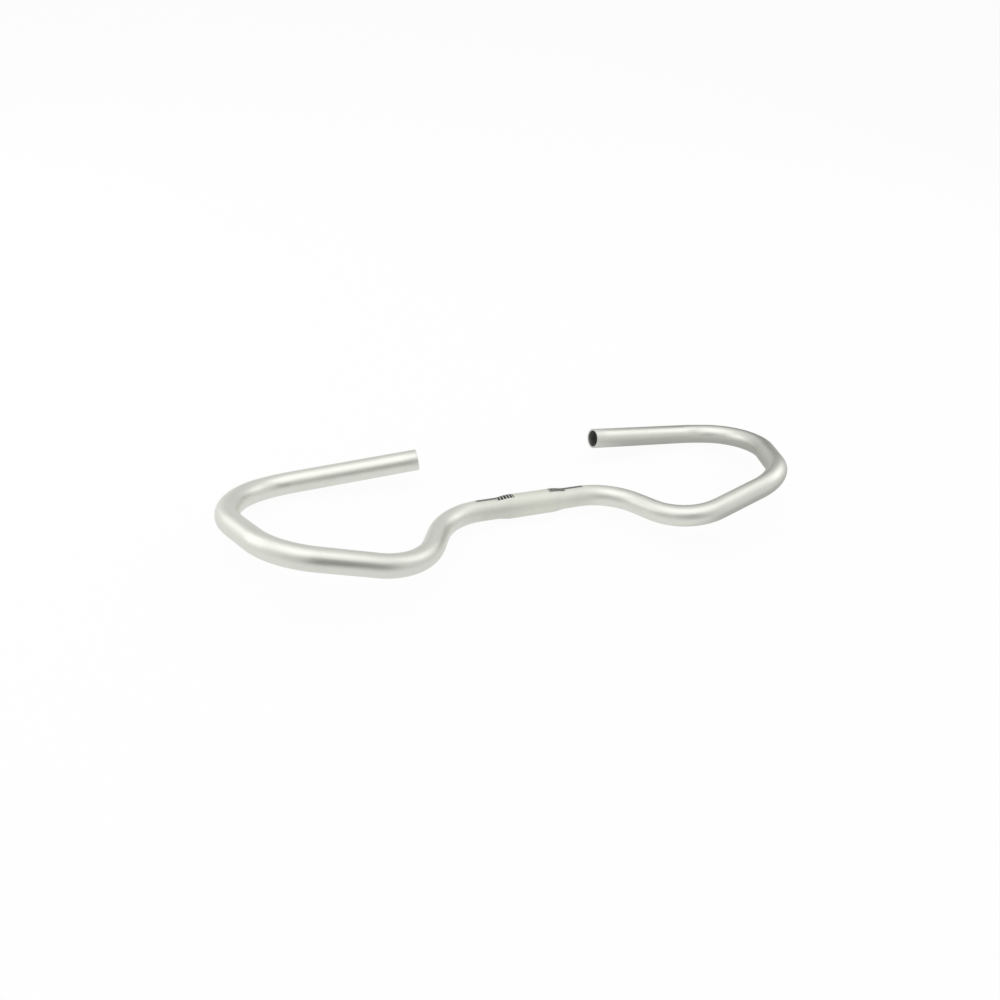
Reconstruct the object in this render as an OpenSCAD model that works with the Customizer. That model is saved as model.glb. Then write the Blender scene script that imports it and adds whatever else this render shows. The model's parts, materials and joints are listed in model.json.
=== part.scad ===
// Multi-position bicycle handlebar: one aluminium tube, swelled in the middle for the
// stem and bent into a forward wing and a rear grip on each side.
// The origin is the middle of the stem seat and X runs along it. -Y is the front.
// The bar lies as it rests on a bench, on its seat and on the outer rear corners.

/* [Tube] */
// Outside diameter of the bent tube, on which levers and grips are clamped
tube_d = 22.2; // [22:0.1:23.8]
// Wall thickness, the same all along
wall = 2; // [1.6:0.1:2.6]
// Radius of every bend, to the middle of the tube
bend_r = 60; // [52:1:68]

/* [Stem seat] */
// Diameter of the seat that the stem clamps
seat_d = 25.4; // [24:0.1:26]
// Length of the seat
seat_l = 48; // [40:1:56]
// Length of the swell at each end of the seat
swell_l = 15; // [10:1:20]
// Middle of the bar to the start of its first bend
stem_l = 56; // [50:0.5:64]

/* [Front wing] */
// Angle of the first bend, forwards
shoulder_angle = 62; // [54:0.5:66]
// Straight run between the first two bends
shoulder_l = 19.5; // [10:0.5:30]
// Angle of the second bend, outwards
front_angle = 69; // [62:0.5:74]
// Turn of the second bend's plane about the tube, which lifts the wing
front_turn = 15; // [5:0.5:20]
// Straight front run of the wing
front_l = 51.5; // [40:0.5:65]

/* [Side] */
// Angle of the third bend, backwards
side_angle = 61.5; // [55:0.5:68]
// Turn of the third bend's plane about the tube
side_turn = -17; // [-24:0.5:-8]
// Straight run at the side
side_l = 35; // [20:0.5:45]

/* [Rear grip] */
// Angle of the fourth bend, inwards
rear_angle = 87; // [80:0.5:92]
// Turn of the fourth bend's plane about the tube
rear_turn = 13.5; // [8:0.5:18]
// Angle of the last bend, which follows the fourth without a straight run
grip_angle = 32.5; // [25:0.5:36]
// Turn of the last bend's plane about the tube
grip_turn = 15; // [8:0.5:20]
// Straight run that the grip slides on
grip_l = 126.5; // [110:0.5:135]

/* [Tube mouths] */
// Chamfer round the outer edge of each mouth
outer_chamfer = 0.5; // [0.2:0.1:0.8]
// Chamfer round the inner edge of each mouth
inner_chamfer = 0.3; // [0.2:0.1:0.6]

/* [Hidden] */
$fn = 96;
// Steps in the curve of each swell
SWELL_STEPS = 10;
// How far the hollow is cut past each mouth
CUT_PAST = 2;
tube_r = tube_d / 2;
seat_r = seat_d / 2;
// Half of a block that covers a whole ring of tube
block = bend_r + tube_d;
// Digits that a stored sine or cosine keeps
DIGITS = 6;
// How far an angle may move to suit them, in degrees, and the steps in which it moves
FIT_REACH = 0.1;
FIT_STEP = 0.001;

// A sine or cosine as it is stored
function stored(v) =
    v == 0 ? 0 : let (unit = 10 ^ (floor(log(abs(v))) + 1 - DIGITS)) round(v / unit) * unit;
function misfit(a) = abs(stored(cos(a)) ^ 2 + stored(sin(a)) ^ 2 - 1);
// The nearby angle whose stored sine and cosine belong together best, so that each run of
// tube starts exactly where the one before it ends
function snug(a) =
    let (reach = FIT_REACH / FIT_STEP, near = [for (i = [-reach:reach]) a + i * FIT_STEP])
    let (gaps = [for (n = near) misfit(n)]) near[search(min(gaps), gaps)[0]];

// Straight run, then the angle of the bend, then the turn of its plane about the tube
ROUTE = [
    [shoulder_l, snug(front_angle), snug(front_turn)],
    [front_l, snug(side_angle), snug(side_turn)],
    [side_l, snug(rear_angle), snug(rear_turn)],
    [0, snug(grip_angle), snug(grip_turn)]
];
shoulder = snug(shoulder_angle);

// The middle line of the tube, to find how the bar rests. Each matrix is a place on it,
// with its own Y along the tube and its own X away from the bend's centre.
function moved(x, y) = [[1, 0, 0, x], [0, 1, 0, y], [0, 0, 1, 0], [0, 0, 0, 1]];
function about_y(a) = [[cos(a), 0, sin(a), 0], [0, 1, 0, 0], [-sin(a), 0, cos(a), 0], [0, 0, 0, 1]];
function about_z(a) = [[cos(a), -sin(a), 0, 0], [sin(a), cos(a), 0, 0], [0, 0, 1, 0], [0, 0, 0, 1]];
function round_bend(a) = moved(-bend_r, 0) * about_z(a) * moved(bend_r, 0);
function past_bend(i) = i < 0
    ? moved(stem_l, 0) * about_z(-90) * about_y(180) * round_bend(shoulder) * about_y(180)
    : at_bend(i) * round_bend(ROUTE[i][1]);
function at_bend(i) = past_bend(i - 1) * moved(0, ROUTE[i][0]) * about_y(ROUTE[i][2]);

// The bar lies on its seat and on the outer rear corners, so it leans back about the seat
// by the least angle at which a point of the last two bends comes down to the bench
REAR_BENDS = [len(ROUTE) - 2, len(ROUTE) - 1];
rear_line = [for (i = REAR_BENDS) for (a = [0:ROUTE[i][1]]) at_bend(i) * round_bend(a) * [0, 0, 0, 1]];
lean = min([for (p = rear_line) atan2(p.z, p.y) + asin((seat_r - tube_r) / norm([p.y, p.z]))]);

// A bend to the left of a tube that runs along Y, and its children on the far end
module bend(angle, r) {
    translate([-bend_r, 0, 0]) {
        difference() {
            rotate_extrude() translate([bend_r, 0]) circle(r = r);
            translate([-block, -2 * block, -block]) cube(2 * block);
            rotate([0, 0, angle]) translate([-block, 0, -block]) cube(2 * block);
        }
        rotate([0, 0, angle]) translate([bend_r, 0, 0]) children();
    }
}

module straight(length, r) {
    rotate([-90, 0, 0]) cylinder(r = r, h = length);
}

// The last run, whose mouth narrows by the lip, or flares where the lip is negative
module mouth(r, lip, past) {
    edge = abs(lip);
    straight(grip_l - edge, r);
    translate([0, grip_l - edge, 0]) rotate([-90, 0, 0]) cylinder(r1 = r, r2 = r - lip, h = edge);
    if (past > 0) translate([0, grip_l, 0]) straight(past, r - lip);
}

module route(i, r, lip, past) {
    if (i == len(ROUTE)) {
        mouth(r, lip, past);
    } else {
        run = ROUTE[i][0];
        if (run > 0) straight(run, r);
        translate([0, run, 0]) rotate([0, ROUTE[i][2], 0]) bend(ROUTE[i][1], r)
            route(i + 1, r, lip, past);
    }
}

// The bar on the right of the stem, starting at its first bend
module side(r, lip, past) {
    translate([stem_l, 0, 0]) rotate([0, 0, -90]) rotate([0, 180, 0])
        bend(shoulder, r) rotate([0, 180, 0]) route(0, r, lip, past);
}

// The straight middle with its seat and swells, thinner than the outside by inset
module middle(inset) {
    swell = [for (i = [0:SWELL_STEPS]) let (t = i / SWELL_STEPS)
        [tube_r + (seat_r - tube_r) * (1 + cos(180 * t)) / 2 - inset, seat_l / 2 + swell_l * t]];
    upper = concat(swell, [[tube_r - inset, stem_l], [0, stem_l]]);
    lower = [for (i = [len(upper) - 1:-1:0]) [upper[i].x, -upper[i].y]];
    rotate([0, 90, 0]) rotate_extrude() polygon(concat(lower, upper));
}

// Everything inside the outer wall, or inside a surface at the given depth under it
module filled(inset, lip, past) {
    middle(inset);
    side(tube_r - inset, lip, past);
    mirror([1, 0, 0]) side(tube_r - inset, lip, past);
}

module handlebar() {
    color([0.80, 0.81, 0.79]) rotate([-lean, 0, 0])
        difference() {
            filled(0, outer_chamfer, 0);
            filled(wall, -inner_chamfer, CUT_PAST);
        }
}

handlebar();
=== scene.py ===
"""Multi-position bicycle handlebar: the bent tube, its finishes and a pale studio."""
import json
import math

import bpy
from mathutils import Matrix, Quaternion, Vector
from mathutils.kdtree import KDTree


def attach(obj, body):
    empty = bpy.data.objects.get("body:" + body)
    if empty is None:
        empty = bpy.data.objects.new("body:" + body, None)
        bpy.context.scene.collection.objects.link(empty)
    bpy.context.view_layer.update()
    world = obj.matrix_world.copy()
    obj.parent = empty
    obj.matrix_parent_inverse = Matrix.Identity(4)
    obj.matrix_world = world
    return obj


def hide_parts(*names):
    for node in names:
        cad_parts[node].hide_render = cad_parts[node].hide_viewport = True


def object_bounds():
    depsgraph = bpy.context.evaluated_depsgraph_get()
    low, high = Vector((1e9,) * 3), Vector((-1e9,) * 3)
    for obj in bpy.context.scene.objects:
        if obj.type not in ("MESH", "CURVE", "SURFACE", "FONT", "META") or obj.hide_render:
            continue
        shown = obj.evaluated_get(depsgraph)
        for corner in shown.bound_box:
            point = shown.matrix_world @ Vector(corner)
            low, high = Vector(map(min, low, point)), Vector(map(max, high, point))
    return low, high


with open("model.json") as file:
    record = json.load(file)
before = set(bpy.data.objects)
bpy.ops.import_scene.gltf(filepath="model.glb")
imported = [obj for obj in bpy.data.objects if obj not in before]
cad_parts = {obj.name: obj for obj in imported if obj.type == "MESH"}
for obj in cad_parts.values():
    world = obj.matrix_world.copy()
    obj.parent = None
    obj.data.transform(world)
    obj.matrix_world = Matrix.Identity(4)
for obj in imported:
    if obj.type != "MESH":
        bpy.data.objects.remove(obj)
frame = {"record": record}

bl_info = {
    "name": "Multi-position Handlebar",
    "version": (1, 0, 0),
    "blender": (4, 5, 0),
    "location": "3D View > Sidebar > Handlebar",
    "description": "Builds a bent aluminium handlebar with its finishes, and a pale studio for it",
    "category": "Add Mesh",
}

MM = 0.001
NODE = "handlebar"
FIT = {m["name"]: m["dims"] for m in frame["record"]["mounts"]}
SEAT, GRIP, BORE = FIT["stem_clamp"], FIT["grip_right"], FIT["bar_end_right"]
CAD_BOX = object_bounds()
# Height of the floor, on which the bar lies
FLOOR = CAD_BOX[0].z


# Settings that a user may change

def length(name, default, description):
    return bpy.props.FloatProperty(
        name=name, description=description, default=default, min=0.0, max=1.0,
        unit="LENGTH", subtype="DISTANCE", precision=4)


def angle(name, degrees, description):
    return bpy.props.FloatProperty(
        name=name, description=description, default=math.radians(degrees),
        min=-math.pi, max=math.pi, unit="ROTATION", subtype="ANGLE")


def share(name, default, description):
    return bpy.props.FloatProperty(
        name=name, description=description, default=default, min=0.0, max=1.0, subtype="FACTOR")


def colour(name, default, description):
    return bpy.props.FloatVectorProperty(
        name=name, description=description, default=default, size=3, min=0.0, max=1.0,
        subtype="COLOR")


class BarSizes(bpy.types.PropertyGroup):
    """The bar's own sizes, along its middle line from the stem to the grip"""
    tube: length("Tube", 2 * GRIP["r_mm"] * MM, "Outside diameter of the bent tube")
    bore: length("Bore", 2 * BORE["r_mm"] * MM, "Inside diameter of the tube")
    seat: length("Seat", 2 * SEAT["r_mm"] * MM, "Diameter of the seat that the stem clamps")
    seat_run: length("Seat length", SEAT["length_mm"] * MM, "Length of the stem's seat")
    swell: length("Swell", 15 * MM, "Length over which the seat tapers to the tube")
    stem_run: length("Half middle", 56 * MM, "Middle of the bar to the start of its first bend")
    bend: length("Bend radius", 60 * MM, "Radius of every bend, to the middle of the tube")
    shoulder: angle("Shoulder", 61.947, "Angle of the first bend, forwards")
    shoulder_run: length("Shoulder run", 19.5 * MM, "Straight run between the first two bends")
    front: angle("Front bend", 68.987, "Angle of the second bend, outwards")
    front_turn: angle("Front turn", 14.992, "Turn of the second bend about the tube")
    front_run: length("Front run", 51.5 * MM, "Straight front run of the wing")
    side: angle("Side bend", 61.55, "Angle of the third bend, backwards")
    side_turn: angle("Side turn", -17.016, "Turn of the third bend about the tube")
    side_run: length("Side run", 35 * MM, "Straight run at the side")
    rear: angle("Rear bend", 86.97, "Angle of the fourth bend, inwards")
    rear_turn: angle("Rear turn", 13.558, "Turn of the fourth bend about the tube")
    grip: angle("Grip bend", 32.515, "Angle of the last bend, which follows the fourth")
    grip_turn: angle("Grip turn", 14.992, "Turn of the last bend about the tube")
    grip_run: length("Grip run", 126.5 * MM, "Straight run that the grip slides on")
    lean: angle("Lean", 15.1874, "How far the bar leans back where it lies on a bench")
    outer_edge: length("Outer edge", 0.5 * MM, "Chamfer round the outside of each mouth")
    inner_edge: length("Inner edge", 0.3 * MM, "Chamfer round the inside of each mouth")


class BarFinish(bpy.types.PropertyGroup):
    """Colours, grain and print of the aluminium"""
    satin: colour("Satin", (0.775, 0.787, 0.727), "Blasted and clear anodised aluminium")
    satin_rough: share("Satin roughness", 0.42, "Roughness of the satin finish")
    grains: bpy.props.FloatProperty(
        name="Grains", description="Grains of the blasted finish to a metre", default=900, min=100)
    grain_depth: length("Grain depth", 0.08 * MM, "Depth of the blasted grain")
    frost_rough: share("Frosted roughness", 0.66, "Roughness round the stem")
    frost_start: length("Frost start", 50 * MM, "Where frosting starts to fade, from the middle")
    frost_end: length("Frost end", 95 * MM, "Where frosting has gone, from the middle")
    seat: colour("Seat", (0.800, 0.810, 0.742), "Paler band that the stem clamps")
    seat_edge: length("Seat edge", 4 * MM, "Softness of the paler band's edge")
    scale_start: length("Scale start", 20 * MM, "Start of the setting scale, from the middle")
    scale_change: length("Scale change", 38.5 * MM, "Where its ticks become fine")
    scale_end: length("Scale end", 60 * MM, "End of the setting scale")
    scale_pitch: length("Scale pitch", 3.2 * MM, "From one bold tick to the next")
    bore: colour("Bore", (0.52, 0.51, 0.49), "Drawn metal inside the tube")
    bore_score: length("Bore score", 0.03 * MM, "Depth of the drawn lines in the bore")
    cut: colour("Cut end", (0.66, 0.66, 0.645), "Sawn and faced end of the tube")
    cut_score: length("Cut score", 0.01 * MM, "Depth of the tool marks on the cut end")
    ink: colour("Ink", (0.008, 0.008, 0.010), "Print of the setting scale")


class Studio(bpy.types.PropertyGroup):
    """Camera, floor and light"""
    azimuth: angle("Azimuth", -25.996, "Camera's turn about the upright axis")
    elevation: angle("Elevation", 42.927, "Camera's height above the horizon, as an angle")
    roll: angle("Roll", 10.101, "Camera's roll about its line of sight")
    camera: bpy.props.FloatVectorProperty(
        name="Camera", description="Where the camera stands", size=3, unit="LENGTH",
        subtype="TRANSLATION", default=(-0.26172, -0.46364, 0.49133))
    lens: bpy.props.FloatProperty(
        name="Lens", description="Focal length", default=24.778, unit="CAMERA")
    floor_white: share("Floor white", 0.92, "How much of the floor is seen as plain white")
    floor_seen: bpy.props.FloatProperty(
        name="Floor seen", description="Brightness of the floor's plain white", default=1.012,
        min=0.0, max=2.0)
    # Painted light and shade: the floor's glow in the gloss goes from the lit left side to the
    # shaded right side
    floor_gloss_lit: share("Floor left", 0.95, "Brightness of the floor's left side in the gloss")
    floor_gloss_shaded: share("Floor right", 0.50, "Brightness of the floor's right side in the gloss")
    room_gloss: share("Room gloss", 0.8, "Brightness of the room in the gloss")
    room_light: share("Room light", 0.576, "Plain light that comes from all sides")


GROUPS = {"bar_sizes": BarSizes, "bar_finish": BarFinish, "bar_studio": Studio}


# The middle line of the tube. A place on it has Y along the tube and X away from the centre
# of the next bend. LINE_STEP is the distance from one noted point to the next.

LINE_STEP = 0.5 * MM


def turned(by, axis):
    return Matrix.Rotation(by, 4, axis)


def runs(s):
    """(straight run, turn about the tube, bend angle) for each bend, from the middle out."""
    return [
        (0.0, math.pi, s.shoulder),
        (s.shoulder_run, math.pi + s.front_turn, s.front),
        (s.front_run, s.side_turn, s.side),
        (s.side_run, s.rear_turn, s.rear),
        (0.0, s.grip_turn, s.grip),
    ]


def bends(s):
    """(place where the bend starts, straight run before it, its angle) for each bend, and the
    place where the last bend ends."""
    place = Matrix.Translation((s.stem_run, 0, 0)) @ turned(-math.pi / 2, "Z")
    centre = Matrix.Translation((-s.bend, 0, 0))
    found = []
    for run, roll, bend in runs(s):
        place = place @ Matrix.Translation((0, run, 0)) @ turned(roll, "Y")
        found.append((place.copy(), run, bend))
        place = place @ centre @ turned(bend, "Z") @ centre.inverted()
    return found, place


def middle_line(s):
    """Points along the right half, from the middle of the seat. Each is (distance, point,
    direction along, two directions across), and these don't twist about the tube."""
    line, done, at = [], 0.0, Vector((0, 0, 0))
    ways = [Vector((1, 0, 0)), Vector((0, 1, 0)), Vector((0, 0, 1))]
    stretches = [(s.stem_run, None, 0.0)]
    found, _ = bends(s)
    for place, run, bend in found:
        stretches += [(run, None, 0.0), (s.bend * bend, place, bend)]
    stretches.append((s.grip_run, None, 0.0))
    for run, place, bend in stretches:
        count = max(1, round(run / LINE_STEP))
        for i in range(count + 1):
            if place is None:
                here, now = at + ways[0] * (run * i / count), ways
            else:
                centre = place @ Vector((-s.bend, 0, 0))
                spin = Matrix.Rotation(bend * i / count, 3, place.col[2].to_3d())
                here, now = centre + spin @ (at - centre), [spin @ way for way in ways]
            line.append((done + run * i / count, here, *now))
        done, at, ways = done + run, here, now
    return line


def outer_radius(s, along):
    """Outside radius of the tube at a distance from the middle of the seat."""
    t = min(max((along - s.seat_run / 2) / s.swell, 0), 1)
    return s.tube / 2 + (s.seat - s.tube) / 2 * (1 + math.cos(math.pi * t)) / 2


# Help with modelling

def start_mesh(name):
    """Names the primitive that was just added, and puts its place into its mesh."""
    piece = bpy.context.object
    piece.name = piece.data.name = name
    bpy.ops.object.transform_apply(location=True, rotation=True, scale=True)
    return piece


def pick_edges(piece, test):
    """Selects, in edit mode, the edges whose points all pass the test."""
    bpy.ops.mesh.select_mode(type="VERT")
    bpy.ops.mesh.select_all(action="DESELECT")
    bpy.ops.object.mode_set(mode="OBJECT")
    for v in piece.data.vertices:
        v.select = test(v.co)
    bpy.ops.object.mode_set(mode="EDIT")
    bpy.ops.mesh.select_mode(type="VERT")
    bpy.ops.mesh.select_mode(type="EDGE")


def modify(piece, kind, name, **settings):
    """Adds a modifier with its settings and applies it."""
    modifier = piece.modifiers.new(name, kind)
    for key, value in settings.items():
        setattr(modifier, key, value)
    bpy.ops.object.modifier_apply(modifier=name)


# The tube

class HANDLEBAR_OT_tube(bpy.types.Operator):
    """Bends the tube, mirrors it, gives it its wall and finishes its mouths"""
    bl_idname = "handlebar.tube"
    bl_label = "Bent tube"

    # Points round the tube, and the steps of a bend, of a swell and of a chamfer
    ROUND = 96
    BEND_STEP = math.radians(2.5)
    SWELL_STEPS = 12
    EDGE_STEPS = 3
    # Lengths into which half the seat, a straight run and the grip are parted
    SEAT_PARTS = 4
    RUN_PARTS = 3
    GRIP_PARTS = 8
    # Points closer than this are one, and a face bent less than this from the next looks smooth
    MERGE = 0.001 * MM
    SMOOTH = math.radians(30)
    # How near a point lies to the plane of a mouth, and to a circle on it, to belong there
    NEAR_PLANE = 0.01 * MM
    NEAR_CIRCLE = 0.1 * MM
    # Material slots of the inside and of the cut ends; the outside has slot 0
    INSIDE, CUT_END = 1, 2

    def execute(self, context):
        s, f = context.scene.bar_sizes, context.scene.bar_finish
        bpy.ops.object.select_all(action="DESELECT")
        bpy.ops.mesh.primitive_circle_add(
            vertices=self.ROUND, radius=s.seat / 2, fill_type="NOTHING",
            location=(0, 0, 0), rotation=(0, math.pi / 2, 0))
        piece = start_mesh("handlebar_tube")
        bpy.ops.object.mode_set(mode="EDIT")
        bpy.ops.mesh.select_all(action="SELECT")
        self.middle(s)
        self.bend_half(s)
        bpy.ops.object.mode_set(mode="OBJECT")
        self.both_sides(piece, s)
        self.mouths(piece, s)
        piece.rotation_euler = (-s.lean, 0, 0)
        bpy.ops.object.transform_apply(rotation=True)
        self.unbent(piece, s)
        self.finishes(piece, s, f)
        bpy.ops.object.shade_smooth_by_angle(angle=self.SMOOTH)
        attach(piece, "root")
        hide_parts(NODE)
        return {"FINISHED"}

    def run(self, ahead, distance, parts=1):
        """Extrudes the open end of the tube straight on."""
        for _ in range(parts):
            bpy.ops.mesh.extrude_region_move(
                TRANSFORM_OT_translate={"value": ahead * (distance / parts)})

    def middle(self, s):
        """The seat, then its swell down to the tube, then the run to the first bend."""
        ahead = Vector((1, 0, 0))
        self.run(ahead, s.seat_run / 2, self.SEAT_PARTS)
        at = s.seat_run / 2
        for _ in range(self.SWELL_STEPS):
            before = outer_radius(s, at)
            self.run(ahead, s.swell / self.SWELL_STEPS)
            at += s.swell / self.SWELL_STEPS
            shrink = outer_radius(s, at) / before
            bpy.ops.transform.resize(value=(1, shrink, shrink), center_override=(at, 0, 0))
        self.run(ahead, s.stem_run - at, self.RUN_PARTS)

    def bend_half(self, s):
        """Every straight run and bend of the right half, out to the grip's end. With no
        window, spin turns the other way, so its angle is negative."""
        found, end = bends(s)
        for place, run, bend in found:
            if run > 0:
                self.run(place.col[1].to_3d(), run, self.RUN_PARTS)
            bpy.ops.mesh.spin(
                steps=max(2, round(bend / self.BEND_STEP)), angle=-bend, dupli=False,
                use_auto_merge=False, center=place @ Vector((-s.bend, 0, 0)),
                axis=place.col[2].to_3d())
        self.run(end.col[1].to_3d(), s.grip_run, self.GRIP_PARTS)

    def both_sides(self, piece, s):
        """The left half, then one even wall inwards."""
        modify(piece, "MIRROR", "Left half", use_axis=(True, False, False),
               use_mirror_merge=True, merge_threshold=self.MERGE)
        bpy.ops.object.mode_set(mode="EDIT")
        bpy.ops.mesh.select_all(action="SELECT")
        bpy.ops.mesh.remove_doubles(threshold=self.MERGE)
        bpy.ops.mesh.normals_make_consistent(inside=False)
        bpy.ops.object.mode_set(mode="OBJECT")
        modify(piece, "SOLIDIFY", "Wall", thickness=(s.tube - s.bore) / 2, offset=-1.0,
               use_even_offset=True, use_rim=True, use_quality_normals=True)

    def mouths(self, piece, s):
        """Breaks the outer and inner edge of each mouth."""
        _, end = bends(s)
        tip = end @ Vector((0, s.grip_run, 0))
        ahead = end.col[1].to_3d()

        def edge_at(radius):
            def test(point):
                reach = Vector((abs(point.x), point.y, point.z)) - tip
                off = reach.dot(ahead)
                gap = (reach - ahead * off).length - radius
                return abs(off) < self.NEAR_PLANE and abs(gap) < self.NEAR_CIRCLE
            return test

        bpy.ops.object.mode_set(mode="EDIT")
        for radius, cut in ((s.tube / 2, s.outer_edge), (s.bore / 2, s.inner_edge)):
            pick_edges(piece, edge_at(radius))
            bpy.ops.mesh.bevel(
                offset=cut, segments=self.EDGE_STEPS, profile=0.5, affect="EDGES")
        bpy.ops.object.mode_set(mode="OBJECT")

    def unbent(self, piece, s):
        """Notes where each point would be if the tube were straight, for the patterns that
        follow the tube round its bends."""
        line = middle_line(s)
        level = turned(s.lean, "X")
        tree = KDTree(len(line))
        for i, row in enumerate(line):
            tree.insert(row[1], i)
        tree.balance()
        note = piece.data.attributes.new("unbent", "FLOAT_VECTOR", "POINT")
        for v in piece.data.vertices:
            point = level @ v.co
            side = -1 if point.x < 0 else 1
            point.x = abs(point.x)
            done, at, ahead, across, up = line[tree.find(point)[1]]
            off = point - at
            note.data[v.index].vector = (
                side * (done + off.dot(ahead)), off.dot(across), off.dot(up))

    def finishes(self, piece, s, f):
        """Satin outside, drawn metal inside, and faced metal on the cut ends. A face is on a
        cut end where it is close to the mouth and lies across the wall."""
        for material in (satin(f, s), drawn_bore(f), cut_end(f)):
            piece.data.materials.append(material)
        note = piece.data.attributes["unbent"].data
        far = max(n.vector.x for n in note)
        for face in piece.data.polygons:
            spots = [note[v].vector for v in face.vertices]
            along = sum(abs(p.x) for p in spots) / len(spots)
            radii = [math.hypot(p.y, p.z) for p in spots]
            middle_of_wall = outer_radius(s, along) - (s.tube - s.bore) / 4
            if far - along < s.outer_edge and max(radii) - min(radii) > s.inner_edge / 4:
                face.material_index = self.CUT_END
            elif sum(radii) / len(radii) < middle_of_wall:
                face.material_index = self.INSIDE


# Finishes. Patterns are counted to a metre of tube.

# The part of its range, from 0 to 1, that most of a noise pattern lies in
NOISE_LOW, NOISE_HIGH = 0.3, 0.7
# Slow patches, and the grain of a cut end
PATCHES = 38.0
CUT_GRAINS = 2800
# Share of round pits in the height of the blasted grain
PITS = 0.35
# Drawn lines: how often they change along the tube, and how close they lie across it
SATIN_LINES = {"Along": 18, "Across": 900}
BORE_LINES = {"Along": 12, "Across": 1600}
# The darkest tone of each finish, as a part of its colour
SATIN_DARK, SEAT_DARK, BORE_DARK, CUT_DARK = 0.9, 0.88, 0.7, 0.85
# How far the lines move the roughness of the satin, and the roughness of the other finishes
SATIN_SWING = (-0.03, 0.04)
BORE_ROUGH = (0.42, 0.6)
CUT_ROUGH = (0.36, 0.46)
# The setting scale: the part of its pitch that a tick fills, the fine pitch as a part of the
# bold one, and how far ticks and rule reach from the top of the bar, towards the back
TICK = 0.74
FINE_PITCH = 0.5
BOLD_TICKS = (-3.2 * MM, 8 * MM)
FINE_TICKS = (-0.6 * MM, 8 * MM)
RULE = (4 * MM, 5.2 * MM)


def new_material(name):
    material = bpy.data.materials.new(name)
    material.use_nodes = True
    tree = material.node_tree
    shader = next(n for n in tree.nodes if n.type == "BSDF_PRINCIPLED")
    return material, tree, shader


def put(tree, socket, value):
    """Links another socket to this one, or sets its value."""
    if isinstance(value, bpy.types.NodeSocket):
        tree.links.new(value, socket)
    else:
        socket.default_value = value


def add(tree, kind, inputs=(), **settings):
    """A node with its settings; inputs maps a socket to a value or to another socket."""
    node = tree.nodes.new(kind)
    for key, value in settings.items():
        setattr(node, key, value)
    for key, value in dict(inputs).items():
        put(tree, node.inputs[key], value)
    return node


def sums(tree, operation, *values):
    """The result of a Math node on sockets or numbers."""
    return add(tree, "ShaderNodeMath", dict(enumerate(values)), operation=operation).outputs[0]


def blend(tree, mask, low, high):
    """The first number where the mask is 0 and the second where it is 1."""
    return add(tree, "ShaderNodeMix", {"Factor": mask, "A": low, "B": high},
               data_type="FLOAT").outputs["Result"]


def blend_colours(tree, mask, low, high):
    """The first colour where the mask is 0 and the second where it is 1."""
    mix = add(tree, "ShaderNodeMix", {"Factor": mask}, data_type="RGBA")
    sockets = [q for q in mix.inputs if q.type == "RGBA"]
    for socket, value in zip(sockets, (low, high)):
        put(tree, socket, value if isinstance(value, bpy.types.NodeSocket) else (*value, 1))
    return next(q for q in mix.outputs if q.type == "RGBA")


def spread(tree, value, low, high, from_low=NOISE_LOW, from_high=NOISE_HIGH):
    """Brings a mask to the range from low to high."""
    return add(tree, "ShaderNodeMapRange", {
        "Value": value, "From Min": from_low, "From Max": from_high,
        "To Min": low, "To Max": high}).outputs["Result"]


def ease(tree, value, start, end, first, last):
    """Goes smoothly from first, where the value is at start, to last, where it is at end."""
    return add(tree, "ShaderNodeMapRange", {
        "Value": value, "From Min": start, "From Max": end, "To Min": first, "To Max": last},
        interpolation_type="SMOOTHSTEP").outputs["Result"]


def darker(tint, by):
    return [c * by for c in tint]


def unbent_place(tree):
    return add(tree, "ShaderNodeAttribute", attribute_name="unbent").outputs["Vector"]


def new_group(name, inputs, outputs):
    """An empty node group with these sockets, and its input sockets and output node."""
    tree = bpy.data.node_groups.new(name, "ShaderNodeTree")
    for way, sockets in (("INPUT", inputs), ("OUTPUT", outputs)):
        for socket, kind in sockets.items():
            tree.interface.new_socket(socket, in_out=way, socket_type="NodeSocket" + kind)
    inp = tree.nodes.new("NodeGroupInput").outputs
    return tree, inp, tree.nodes.new("NodeGroupOutput").inputs


def use_group(tree, name, inputs):
    """The outputs of a node group, which is made where it is used first."""
    made = bpy.data.node_groups.get(name) or MAKERS[name](name)
    return add(tree, "ShaderNodeGroup", inputs, node_tree=made).outputs


def grain_group(name):
    """Blasted grain: a fine height, and a slow patchiness from 0 to 1."""
    tree, inp, out = new_group(
        name, {"Place": "Vector", "Grains": "Float"}, {"Height": "Float", "Patches": "Float"})
    fine = add(tree, "ShaderNodeTexNoise", {
        "Vector": inp["Place"], "Scale": inp["Grains"], "Detail": 3.0, "Roughness": 0.65})
    pits = add(tree, "ShaderNodeTexVoronoi", {
        "Vector": inp["Place"], "Scale": inp["Grains"]}, feature="SMOOTH_F1")
    slow = add(tree, "ShaderNodeTexNoise", {
        "Vector": inp["Place"], "Scale": PATCHES, "Detail": 4.0, "Roughness": 0.6})
    height = blend(tree, PITS, fine.outputs["Fac"], pits.outputs["Distance"])
    put(tree, out["Height"], height)
    put(tree, out["Patches"], slow.outputs["Fac"])
    return tree


def lines_group(name):
    """Drawn lines: fine scores along the tube, from 0 to 1."""
    tree, inp, out = new_group(
        name, {"Place": "Vector", "Along": "Float", "Across": "Float"}, {"Lines": "Float"})
    scale = add(tree, "ShaderNodeCombineXYZ", {
        "X": inp["Along"], "Y": inp["Across"], "Z": inp["Across"]})
    stretch = add(tree, "ShaderNodeVectorMath", {
        0: inp["Place"], 1: scale.outputs["Vector"]}, operation="MULTIPLY")
    noise = add(tree, "ShaderNodeTexNoise", {
        "Vector": stretch.outputs["Vector"], "Scale": 1.0, "Detail": 3.0, "Roughness": 0.6})
    put(tree, out["Lines"], noise.outputs["Fac"])
    return tree


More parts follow.
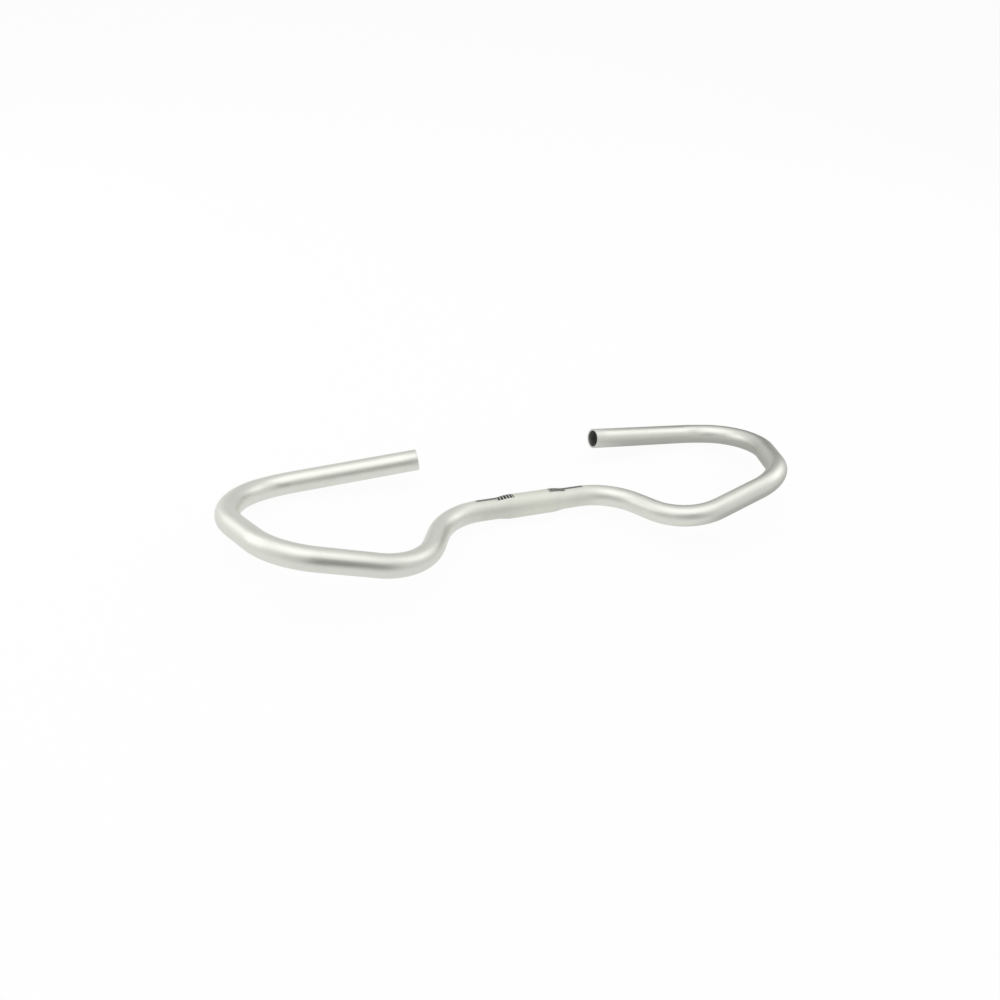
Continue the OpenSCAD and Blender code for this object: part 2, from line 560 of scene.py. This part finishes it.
def scale_group(name):
    """Setting scale on either side of the seat, so that the bar can be centred in its stem:
    bold long ticks next to the seat, finer ones further out, and a rule along them. 1 on the
    print."""
    sizes = ("Start", "Change", "End", "Pitch", "Radius")
    tree, inp, out = new_group(
        name, {"Place": "Vector", **dict.fromkeys(sizes, "Float")}, {"Print": "Float"})
    place = add(tree, "ShaderNodeSeparateXYZ", {"Vector": inp["Place"]}).outputs
    along = sums(tree, "ABSOLUTE", place["X"])
    past = sums(tree, "SUBTRACT", along, inp["Start"])
    # How far round the bar from its top, towards the back
    back = sums(tree, "MULTIPLY", sums(tree, "ARCTAN2", place["Y"], place["Z"]), inp["Radius"])

    def band(value, low, high):
        return sums(tree, "MULTIPLY", sums(tree, "GREATER_THAN", value, low),
                    sums(tree, "LESS_THAN", value, high))

    def patch(start, end, reach):
        """1 from start to end along the bar, where it is within reach from the top."""
        return sums(tree, "MULTIPLY", band(along, start, end), band(back, *reach))

    def ticks(pitch):
        """1 on a tick. pitch is a part of the bold pitch."""
        half = sums(tree, "MULTIPLY", inp["Pitch"], pitch / 2)
        filled = sums(tree, "MULTIPLY", inp["Pitch"], pitch * TICK / 2)
        return sums(tree, "LESS_THAN", sums(tree, "PINGPONG", past, half), filled)

    bold = sums(tree, "MULTIPLY", ticks(1.0), patch(inp["Start"], inp["Change"], BOLD_TICKS))
    fine = sums(tree, "MULTIPLY", ticks(FINE_PITCH), patch(inp["Change"], inp["End"], FINE_TICKS))
    rule = patch(inp["Start"], inp["End"], RULE)
    put(tree, out["Print"], sums(tree, "MAXIMUM", rule, sums(tree, "MAXIMUM", bold, fine)))
    return tree


MAKERS = {"Blasted grain": grain_group, "Drawn lines": lines_group, "Setting scale": scale_group}


def dress(tree, shader, tint, rough, height, depth):
    """Links a colour, a roughness and a relief of the given depth to a metal's shader."""
    put(tree, shader.inputs["Base Color"], tint)
    put(tree, shader.inputs["Roughness"], rough)
    bump = add(tree, "ShaderNodeBump", {"Strength": 1.0, "Distance": depth, "Height": height})
    put(tree, shader.inputs["Normal"], bump.outputs["Normal"])


def satin(f, s):
    """The blasted outside: satin on the bends and grips, frosted round the stem, with a paler
    seat and a setting scale on either side of it."""
    material, tree, shader = new_material("Satin anodised aluminium")
    place = unbent_place(tree)
    along = sums(tree, "ABSOLUTE", add(
        tree, "ShaderNodeSeparateXYZ", {"Vector": place}).outputs["X"])
    grain = use_group(tree, "Blasted grain", {"Place": place, "Grains": f.grains})
    lines = use_group(tree, "Drawn lines", {"Place": place, **SATIN_LINES})["Lines"]
    ink = use_group(tree, "Setting scale", {
        "Place": place, "Start": f.scale_start, "Change": f.scale_change, "End": f.scale_end,
        "Pitch": f.scale_pitch, "Radius": s.tube / 2})["Print"]
    frost = ease(tree, along, f.frost_start, f.frost_end, 1.0, 0.0)
    half_seat = s.seat_run / 2
    seat = ease(tree, along, half_seat - f.seat_edge, half_seat + f.seat_edge, 1.0, 0.0)
    # Half of the mottle comes from the patches and half from the grain itself
    mottle = sums(tree, "MULTIPLY_ADD", spread(tree, grain["Patches"], 0.0, 1.0), 0.5, sums(
        tree, "MULTIPLY", spread(tree, grain["Height"], 0.0, 1.0), 0.5))
    plain = blend_colours(tree, seat, f.satin, f.seat)
    shade = blend_colours(tree, seat, darker(f.satin, SATIN_DARK), darker(f.seat, SEAT_DARK))
    tint = blend_colours(tree, ink, blend_colours(tree, mottle, shade, plain), f.ink)
    rough = spread(tree, lines, *(f.satin_rough + swing for swing in SATIN_SWING))
    rough = sums(tree, "MULTIPLY_ADD", frost, f.frost_rough - f.satin_rough, rough)
    # The frosted grain is twice as deep
    height = sums(tree, "MULTIPLY", grain["Height"], sums(tree, "ADD", frost, 1.0))
    dress(tree, shader, tint, rough, height, f.grain_depth)
    put(tree, shader.inputs["Metallic"], sums(tree, "SUBTRACT", 1.0, ink))
    return material


def drawn_bore(f):
    """The inside of the tube, scored along by the drawing."""
    material, tree, shader = new_material("Drawn bore")
    shader.inputs["Metallic"].default_value = 1.0
    place = unbent_place(tree)
    lines = use_group(tree, "Drawn lines", {"Place": place, **BORE_LINES})["Lines"]
    slow = use_group(tree, "Blasted grain", {"Place": place})["Patches"]
    tint = blend_colours(tree, spread(tree, slow, 0.0, 1.0), darker(f.bore, BORE_DARK), f.bore)
    dress(tree, shader, tint, spread(tree, lines, *BORE_ROUGH), lines, f.bore_score)
    return material


def cut_end(f):
    """The faced end of the tube and its broken edges."""
    material, tree, shader = new_material("Faced cut end")
    shader.inputs["Metallic"].default_value = 1.0
    grain = use_group(tree, "Blasted grain", {
        "Place": unbent_place(tree), "Grains": CUT_GRAINS})
    tone = spread(tree, grain["Height"], 0.0, 1.0)
    tint = blend_colours(tree, tone, darker(f.cut, CUT_DARK), f.cut)
    rough = spread(tree, grain["Patches"], *CUT_ROUGH)
    dress(tree, shader, tint, rough, grain["Height"], f.cut_score)
    return material


# The studio. Places are in metres from the middle of the seat.

# Soft boxes: name, place, width, height, and how bright the face is
LAMPS = (
    ("overhead_box", (-0.23, 0.10, 1.9), 2.2, 2.0, 0.73),
    ("left_box", (-1.08, 0.56, 0.60), 1.15, 0.82, 0.90),
    ("right_box", (1.56, 0.32, 1.14), 1.4, 1.0, 0.95),
)
# Cards that only the gloss of the metal sees: name, place, width, height, how bright the card
# is, and the part of its side over which an edge fades
CARDS = (
    ("far_card", (0, 2.4, 0.3), 6.0, 1.9, 0.66, 0.35),
    ("near_card", (-0.7, -2.2, 1.1), 5.0, 2.6, 0.66, 0.35),
    ("right_card", (0.57, 0.36, 0.08), 0.66, 0.52, 0.11, 0.35),
    ("dark_card", (-0.015, -0.45, 0.36), 0.24, 0.66, 0.08, 0.25),
    ("low_card", (-0.210, -0.190, 0.120), 0.12, 0.20, 0.12, 0.25),
)


class HANDLEBAR_OT_studio(bpy.types.Operator):
    """Sets up the pale floor, the soft light and the camera"""
    bl_idname = "handlebar.studio"
    bl_label = "Pale studio"

    # The floor's side, its drop below the bar, and its plain colour and roughness
    FLOOR_SIDE = 60
    FLOOR_DROP = 0.1 * MM
    FLOOR_GREY = (0.88, 0.88, 0.88, 1)
    FLOOR_ROUGH = 0.9
    # The way across the floor in which its gloss darkens, and where that starts and ends. This is
    # painted shade: in the metal's gloss the floor glows darker towards the right, standing in for
    # the left lamp's fall-off and the bar's shadow there
    SHADE_WAY = (0.94, 0.33, 0.0)
    FADE_START, FADE_END = 0.09, 0.17
    SENSOR = 36

    def execute(self, context):
        st = context.scene.bar_studio
        self.floor(st)
        self.room(context.scene, st)
        for settings in LAMPS:
            self.lamp(*settings)
        for settings in CARDS:
            self.card(*settings)
        self.camera(context.scene, st)
        context.scene.view_settings.view_transform = "Standard"
        return {"FINISHED"}

    def floor(self, st):
        """A white floor that keeps the bar's shadow. Its glow in the gloss carries painted light
        and shade: paler on the left, and darker on the right for the lamps' fall-off and the bar's
        shadow.
        """
        bpy.ops.object.select_all(action="DESELECT")
        bpy.ops.mesh.primitive_plane_add(
            size=self.FLOOR_SIDE, location=(0, 0, FLOOR - self.FLOOR_DROP))
        floor = start_mesh("studio_floor")
        material, tree, shader = new_material("White floor")
        shader.inputs["Base Color"].default_value = self.FLOOR_GREY
        shader.inputs["Roughness"].default_value = self.FLOOR_ROUGH
        path = add(tree, "ShaderNodeLightPath").outputs
        where = add(tree, "ShaderNodeTexCoord").outputs["Object"]
        across = add(tree, "ShaderNodeVectorMath", {0: where, 1: self.SHADE_WAY},
                     operation="DOT_PRODUCT").outputs["Value"]
        # Painted shade: in the gloss the floor glows less towards the right, where the lamp falls
        # off and the bar shades it
        in_gloss = spread(
            tree, across, st.floor_gloss_lit, st.floor_gloss_shaded, self.FADE_START, self.FADE_END)
        strength = blend(tree, path["Is Glossy Ray"], st.floor_seen, in_gloss)
        white = add(tree, "ShaderNodeEmission", {"Strength": strength}).outputs[0]
        seen = sums(tree, "MAXIMUM", path["Is Camera Ray"], sums(
            tree, "MAXIMUM", path["Is Glossy Ray"], path["Is Transmission Ray"]))
        both = add(tree, "ShaderNodeMixShader", {
            0: sums(tree, "MULTIPLY", seen, st.floor_white), 1: shader.outputs[0], 2: white})
        output = next(n for n in tree.nodes if n.type == "OUTPUT_MATERIAL")
        put(tree, output.inputs["Surface"], both.outputs[0])
        floor.data.materials.append(material)

    def room(self, scene, st):
        """White behind the bar, paler grey in its gloss, and plain light from all sides."""
        world = scene.world or bpy.data.worlds.new("Studio")
        scene.world = world
        world.use_nodes = True
        tree = world.node_tree
        tree.nodes.clear()
        path = add(tree, "ShaderNodeLightPath").outputs
        in_gloss = sums(tree, "MAXIMUM", path["Is Glossy Ray"], path["Is Transmission Ray"])
        strength = blend(tree, in_gloss, st.room_light, st.room_gloss)
        strength = blend(tree, path["Is Camera Ray"], strength, st.floor_seen)
        white = add(tree, "ShaderNodeBackground", {"Color": (1, 1, 1, 1), "Strength": strength})
        out = tree.nodes.new("ShaderNodeOutputWorld")
        put(tree, out.inputs["Surface"], white.outputs[0])

    def lamp(self, name, place, wide, high, brightness):
        """A soft box that looks at the bar. brightness is how bright its face is."""
        place = Vector(place)
        lamp = bpy.data.lights.new(name, "AREA")
        lamp.shape, lamp.size, lamp.size_y = "RECTANGLE", wide, high
        lamp.energy = brightness * math.pi * wide * high
        holder = bpy.data.objects.new(name, lamp)
        bpy.context.scene.collection.objects.link(holder)
        holder.location = place
        holder.visible_camera = False
        holder.rotation_mode = "QUATERNION"
        holder.rotation_quaternion = place.to_track_quat("Z", "Y")

    def card(self, name, place, wide, high, grey, soft):
        """A grey card that only the gloss of the metal sees, soft at its edges."""
        place = Vector(place)
        bpy.ops.object.select_all(action="DESELECT")
        bpy.ops.mesh.primitive_plane_add(
            size=1, location=place, rotation=place.to_track_quat("Z", "Y").to_euler())
        bpy.context.object.scale = (wide, high, 1)
        piece = start_mesh(name)
        material = bpy.data.materials.new(name)
        material.use_nodes = True
        tree = material.node_tree
        tree.nodes.clear()
        uv = add(tree, "ShaderNodeTexCoord").outputs["UV"]
        # The distance from the nearer edge, as a part of the side, and how much of the card
        # shows there
        edges = [ease(tree, sums(tree, "PINGPONG", socket, 0.5), 0.0, soft, 0.0, 1.0)
                 for socket in add(tree, "ShaderNodeSeparateXYZ", {"Vector": uv}).outputs[:2]]
        face = add(tree, "ShaderNodeEmission", {"Strength": grey}).outputs[0]
        clear = add(tree, "ShaderNodeBsdfTransparent").outputs[0]
        both = add(tree, "ShaderNodeMixShader", {
            0: sums(tree, "MULTIPLY", *edges), 1: clear, 2: face})
        out = tree.nodes.new("ShaderNodeOutputMaterial")
        put(tree, out.inputs["Surface"], both.outputs[0])
        piece.data.materials.append(material)
        for ray in ("camera", "diffuse", "transmission", "volume_scatter", "shadow"):
            setattr(piece, "visible_" + ray, False)

    def camera(self, scene, st):
        """The camera, turned from the front by the azimuth and looking down by the elevation."""
        camera = bpy.data.objects.new("camera", bpy.data.cameras.new("camera"))
        scene.collection.objects.link(camera)
        ahead = Vector((-math.sin(st.azimuth) * math.cos(st.elevation),
                        math.cos(st.azimuth) * math.cos(st.elevation),
                        -math.sin(st.elevation)))
        roll = Quaternion((0, 0, 1), st.roll)
        camera.location = st.camera
        camera.rotation_mode = "QUATERNION"
        camera.rotation_quaternion = ahead.to_track_quat("-Z", "Y") @ roll
        camera.data.lens = st.lens
        camera.data.sensor_width = self.SENSOR
        scene.camera = camera


class HANDLEBAR_PT_panel(bpy.types.Panel):
    """Sidebar panel with every setting and step"""
    bl_label = "Handlebar"
    bl_idname = "HANDLEBAR_PT_panel"
    bl_space_type = "VIEW_3D"
    bl_region_type = "UI"
    bl_category = "Handlebar"

    def draw(self, context):
        for name, group in GROUPS.items():
            box = self.layout.box()
            box.label(text=group.__doc__)
            for key in group.__annotations__:
                box.prop(getattr(context.scene, name), key)
        for step in STEPS:
            self.layout.operator(step.bl_idname)


STEPS = (HANDLEBAR_OT_tube, HANDLEBAR_OT_studio)


def register():
    for name, group in GROUPS.items():
        bpy.utils.register_class(group)
        setattr(bpy.types.Scene, name, bpy.props.PointerProperty(type=group))
    for item in (*STEPS, HANDLEBAR_PT_panel):
        bpy.utils.register_class(item)


def unregister():
    for item in (HANDLEBAR_PT_panel, *reversed(STEPS)):
        bpy.utils.unregister_class(item)
    for name, group in reversed(GROUPS.items()):
        delattr(bpy.types.Scene, name)
        bpy.utils.unregister_class(group)


def main():
    register()
    bpy.ops.handlebar.tube()
    bpy.ops.handlebar.studio()


if __name__ == "__main__":
    main()
